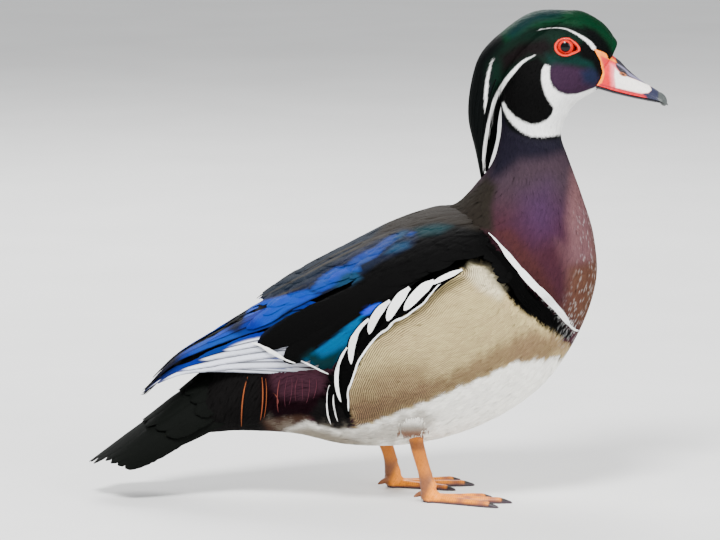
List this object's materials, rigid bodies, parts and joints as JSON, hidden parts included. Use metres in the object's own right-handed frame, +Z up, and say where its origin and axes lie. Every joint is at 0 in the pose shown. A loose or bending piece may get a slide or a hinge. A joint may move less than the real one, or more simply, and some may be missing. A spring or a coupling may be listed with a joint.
{
  "type": "wood duck",
  "caption": "Standing perching duck with a long swept-back crest, folded wings laid in feather tiers, a drooping tail and webbed feet flat on the floor.",
  "frame": {"origin": "centre of the bird's length and width, on the floor that its feet stand on", "axes": "+X forward along the body, towards the bill; +Y to the bird's left; +Z up"},
  "size_m": [0.3324, 0.1242, 0.2806],
  "materials": {
    "crown": "glossy iridescent green feathers",
    "neck": "soft purple-brown feathers",
    "body": "soft feathers, chestnut breast and white belly",
    "flank": "buff feathers with fine black waves",
    "wing": "blue-black vanes with a silken sheen",
    "tail": "glossy black vanes",
    "rump": "maroon feathers",
    "bill": "horn, red, white, yellow and black",
    "eyelids": "bare orange-red skin",
    "eye": "wet, red iris and black pupil",
    "leg": "scaly dull yellow skin with dark joints"
  },
  "bodies": {
    "root": {"torso": "body", "rump": "rump", "neck": "neck", "head": "crown", "crest": "crown", "bill_upper": "bill", "bill_lower": "bill", "tail": "tail", "eye_right": "eye", "eye_left": "eye", "eyelids_right": "eyelids", "eyelids_left": "eyelids", "wing_right": "wing", "wing_left": "wing", "flank_right": "flank", "flank_left": "flank", "leg_right": "leg", "leg_left": "leg", "foot_right": "leg", "foot_left": "leg"}
  },
  "joints": []
}
